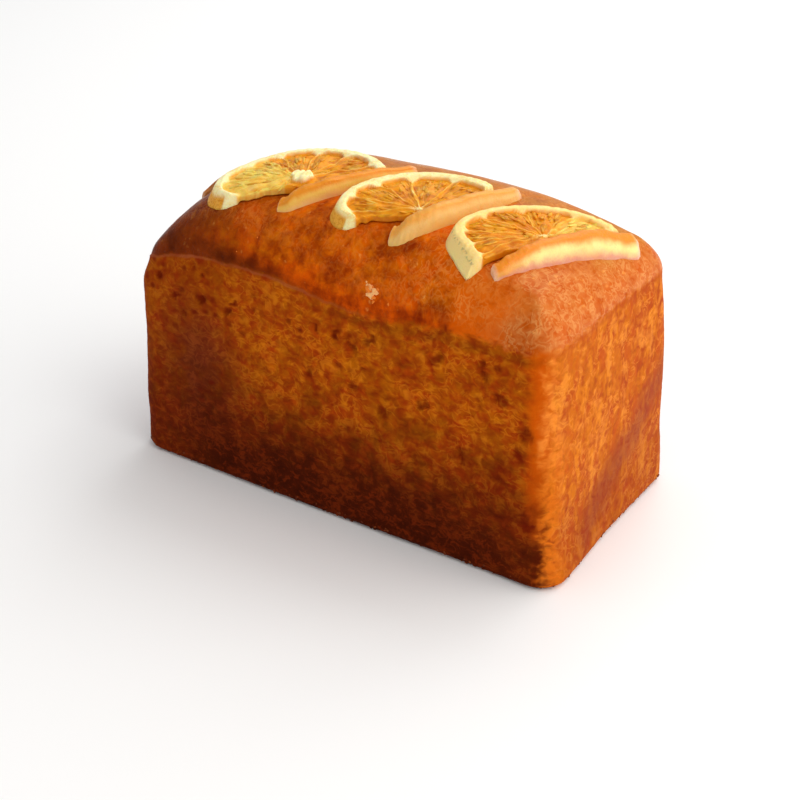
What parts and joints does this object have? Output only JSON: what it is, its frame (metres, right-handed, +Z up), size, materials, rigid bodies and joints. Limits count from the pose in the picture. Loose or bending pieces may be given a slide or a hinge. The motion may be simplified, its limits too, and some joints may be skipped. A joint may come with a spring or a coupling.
{
  "type": "orange pound cake loaf",
  "caption": "Uncut rectangular loaf cake with a glazed domed top, dressed with half slices of dried orange and strips of candied peel.",
  "frame": {"origin": "middle of the flat base", "axes": "+X along the loaf towards its steeper end, +Y across it, +Z up; the dressed long side faces -Y"},
  "size_m": [0.1824, 0.0944, 0.1181],
  "materials": {
    "cake_crust": "baked golden-brown crumb, brushed with a thin orange glaze on the dome",
    "dried_orange": "translucent dried orange flesh with a pale pith rim",
    "candied_peel": "soft candied peel, zest on one edge and pale pith on the other"
  },
  "bodies": {
    "root": {"loaf": "cake_crust", "orange_slice_1": "dried_orange", "orange_slice_2": "dried_orange", "orange_slice_3": "dried_orange", "peel_strip_1": "candied_peel", "peel_strip_2": "candied_peel", "peel_strip_3": "candied_peel", "peel_strip_4": "candied_peel"}
  },
  "joints": []
}
